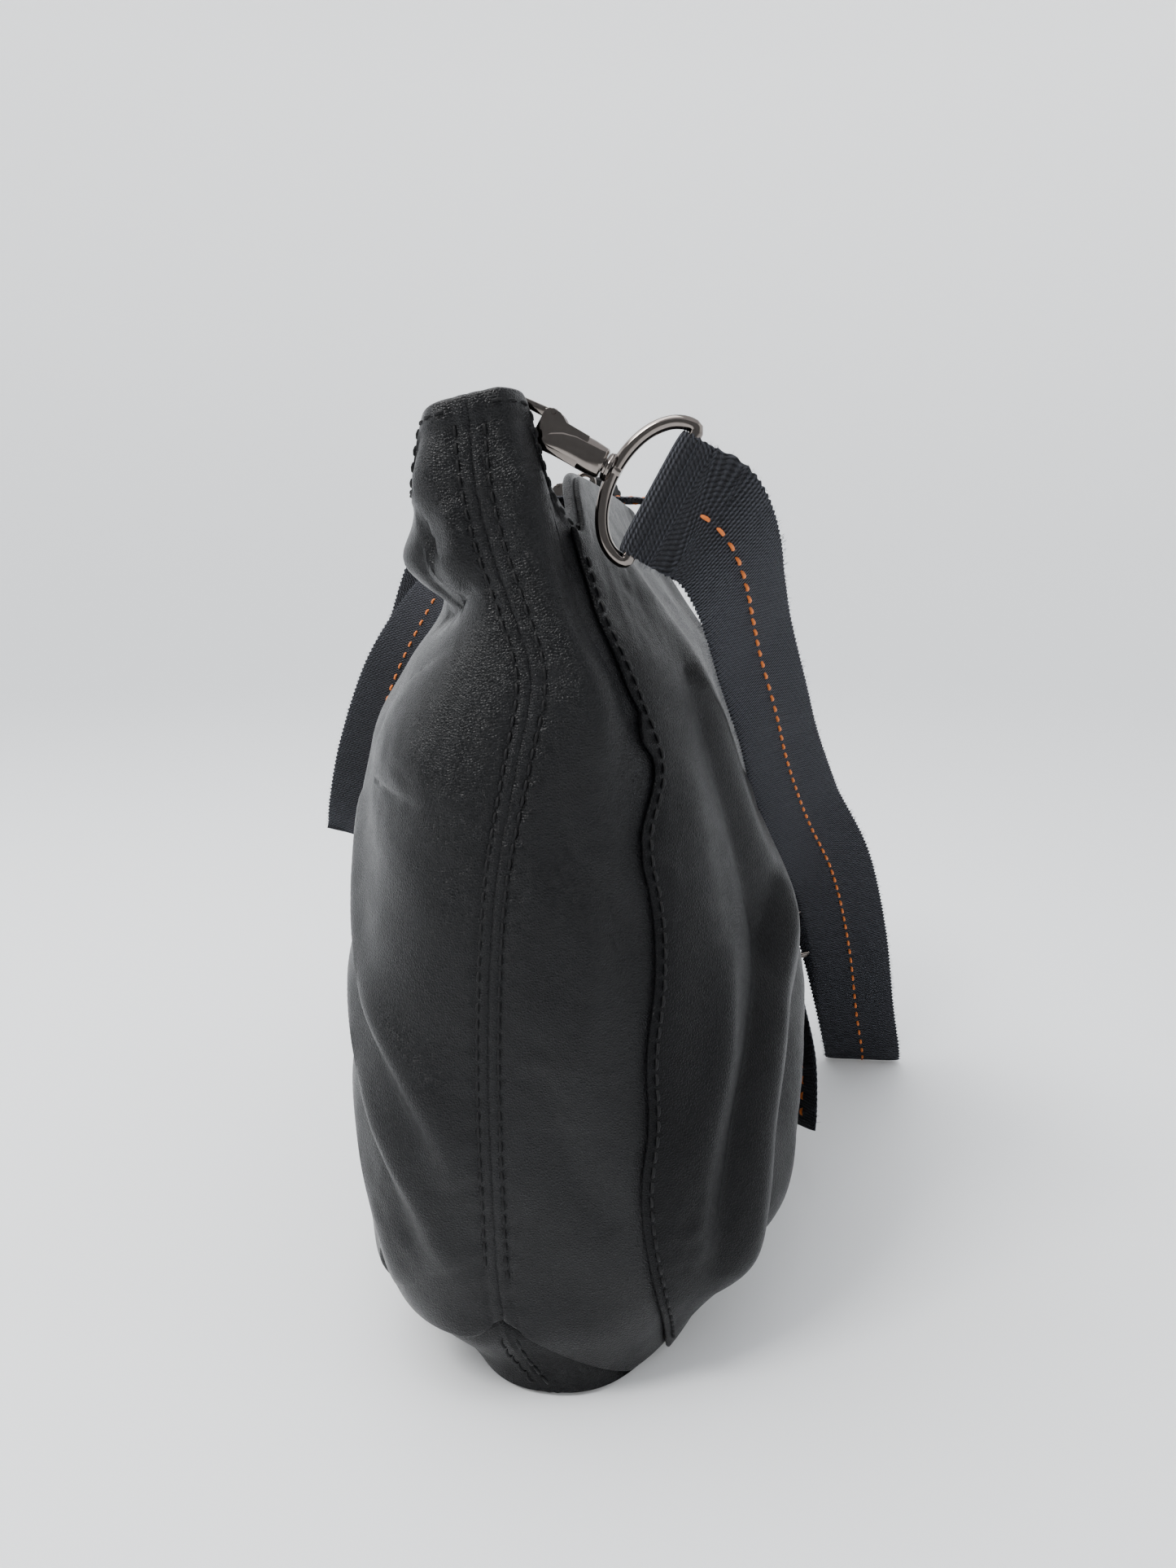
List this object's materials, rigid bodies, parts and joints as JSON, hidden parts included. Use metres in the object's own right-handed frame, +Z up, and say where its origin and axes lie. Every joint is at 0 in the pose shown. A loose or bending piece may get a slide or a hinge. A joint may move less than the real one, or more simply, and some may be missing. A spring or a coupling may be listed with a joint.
{
  "type": "shoulder bag",
  "caption": "Soft black leather zip-top shoulder bag with a lapped back panel and a webbing strap on two swivel snap hooks.",
  "frame": {"origin": "on the floor under the middle of the base", "axes": "+X along the bag to its near end, +Y towards the back with the lapped pocket panel, +Z up"},
  "size_m": [0.34, 0.3126, 0.309],
  "materials": {
    "leather": "soft fine-grain black leather, semi-matt",
    "glazed_leather": "black leather with a slightly glossier glaze",
    "lining": "thin black twill lining",
    "zip_cloth": "black woven tape",
    "webbing": "blue-black cotton twill webbing with orange running stitches",
    "board": "dark stiffener board",
    "dark_metal": "polished black nickel"
  },
  "bodies": {
    "root": {"front_panel": "leather", "back_panel": "leather", "back_pocket_panel": "glazed_leather", "base_panel": "leather", "base_board": "board", "lining": "lining", "inner_slip_pocket": "lining", "near_seam_tape": "zip_cloth", "far_seam_tape": "zip_cloth", "zip_tape_front": "zip_cloth", "zip_tape_back": "zip_cloth", "zip_teeth_front": "dark_metal", "zip_teeth_back": "dark_metal", "zip_facing_front": "leather", "zip_facing_back": "leather", "zip_top_stop_front": "dark_metal", "zip_top_stop_back": "dark_metal", "zip_bottom_stop": "dark_metal", "near_anchor_tab": "glazed_leather", "far_anchor_tab": "glazed_leather", "strap_webbing": "webbing", "strap_tail": "webbing"},
    "zip_slider_body": {"zip_slider": "dark_metal"},
    "zip_pull_body": {"zip_pull": "dark_metal"},
    "adjuster": {"strap_adjuster": "dark_metal"},
    "near_ring": {"near_anchor_ring": "dark_metal"},
    "near_clip": {"near_strap_holder": "dark_metal", "near_strap_loop": "webbing"},
    "near_hook": {"near_snap_hook": "dark_metal", "near_gate_pin": "dark_metal"},
    "near_gate": {"near_hook_gate": "dark_metal"},
    "far_ring": {"far_anchor_ring": "dark_metal"},
    "far_clip": {"far_strap_holder": "dark_metal", "far_strap_loop": "webbing"},
    "far_hook": {"far_snap_hook": "dark_metal", "far_gate_pin": "dark_metal"},
    "far_gate": {"far_hook_gate": "dark_metal"}
  },
  "joints": [
    {"name": "zip_slide", "type": "slide", "parent": "root", "child": "zip_slider_body", "axis": [1, 0, 0], "range_m": [-0.057, 0.148]},
    {"name": "zip_pull_swing", "type": "hinge", "parent": "zip_slider_body", "child": "zip_pull_body", "pos_m": [-0.048, -0.022, 0.2757], "axis": [0, 1, 0], "range_deg": [0, 144]},
    {"name": "strap_adjust", "type": "slide", "parent": "root", "child": "adjuster", "axis": [0.0333, -0.2768, 0.9603], "range_m": [-0.008, 0.008]},
    {"name": "near_ring_swing", "type": "hinge", "parent": "root", "child": "near_ring", "pos_m": [0.139, -0.017, 0.285], "axis": [1, 0, 0], "range_deg": [-8, 8]},
    {"name": "near_clip_swing", "type": "hinge", "parent": "root", "child": "near_clip", "pos_m": [0.139, -0.017, 0.301], "axis": [1, 0, 0], "range_deg": [0, 30]},
    {"name": "near_hook_swivel", "type": "hinge", "parent": "near_clip", "child": "near_hook", "pos_m": [0.139, -0.017, 0.301], "axis": [0, 0.8771, -0.4802], "range_deg": [-12, 12]},
    {"name": "near_gate_open", "type": "hinge", "parent": "near_hook", "child": "near_gate", "pos_m": [0.139, -0.00324, 0.30031], "axis": [1, 0, 0], "range_deg": [0, 18], "stiffness_Nm_per_rad": 0.01, "springref_deg": -17.19},
    {"name": "far_ring_swing", "type": "hinge", "parent": "root", "child": "far_ring", "pos_m": [-0.139, -0.027, 0.285], "axis": [-1, 0, 0], "range_deg": [-8, 8]},
    {"name": "far_clip_swing", "type": "hinge", "parent": "root", "child": "far_clip", "pos_m": [-0.139, -0.027, 0.301], "axis": [-1, 0, 0], "range_deg": [0, 30]},
    {"name": "far_hook_swivel", "type": "hinge", "parent": "far_clip", "child": "far_hook", "pos_m": [-0.139, -0.027, 0.301], "axis": [0, -0.8771, -0.4802], "range_deg": [-12, 12]},
    {"name": "far_gate_open", "type": "hinge", "parent": "far_hook", "child": "far_gate", "pos_m": [-0.139, -0.04076, 0.30031], "axis": [-1, 0, 0], "range_deg": [0, 18], "stiffness_Nm_per_rad": 0.01, "springref_deg": -17.19}
  ]
}
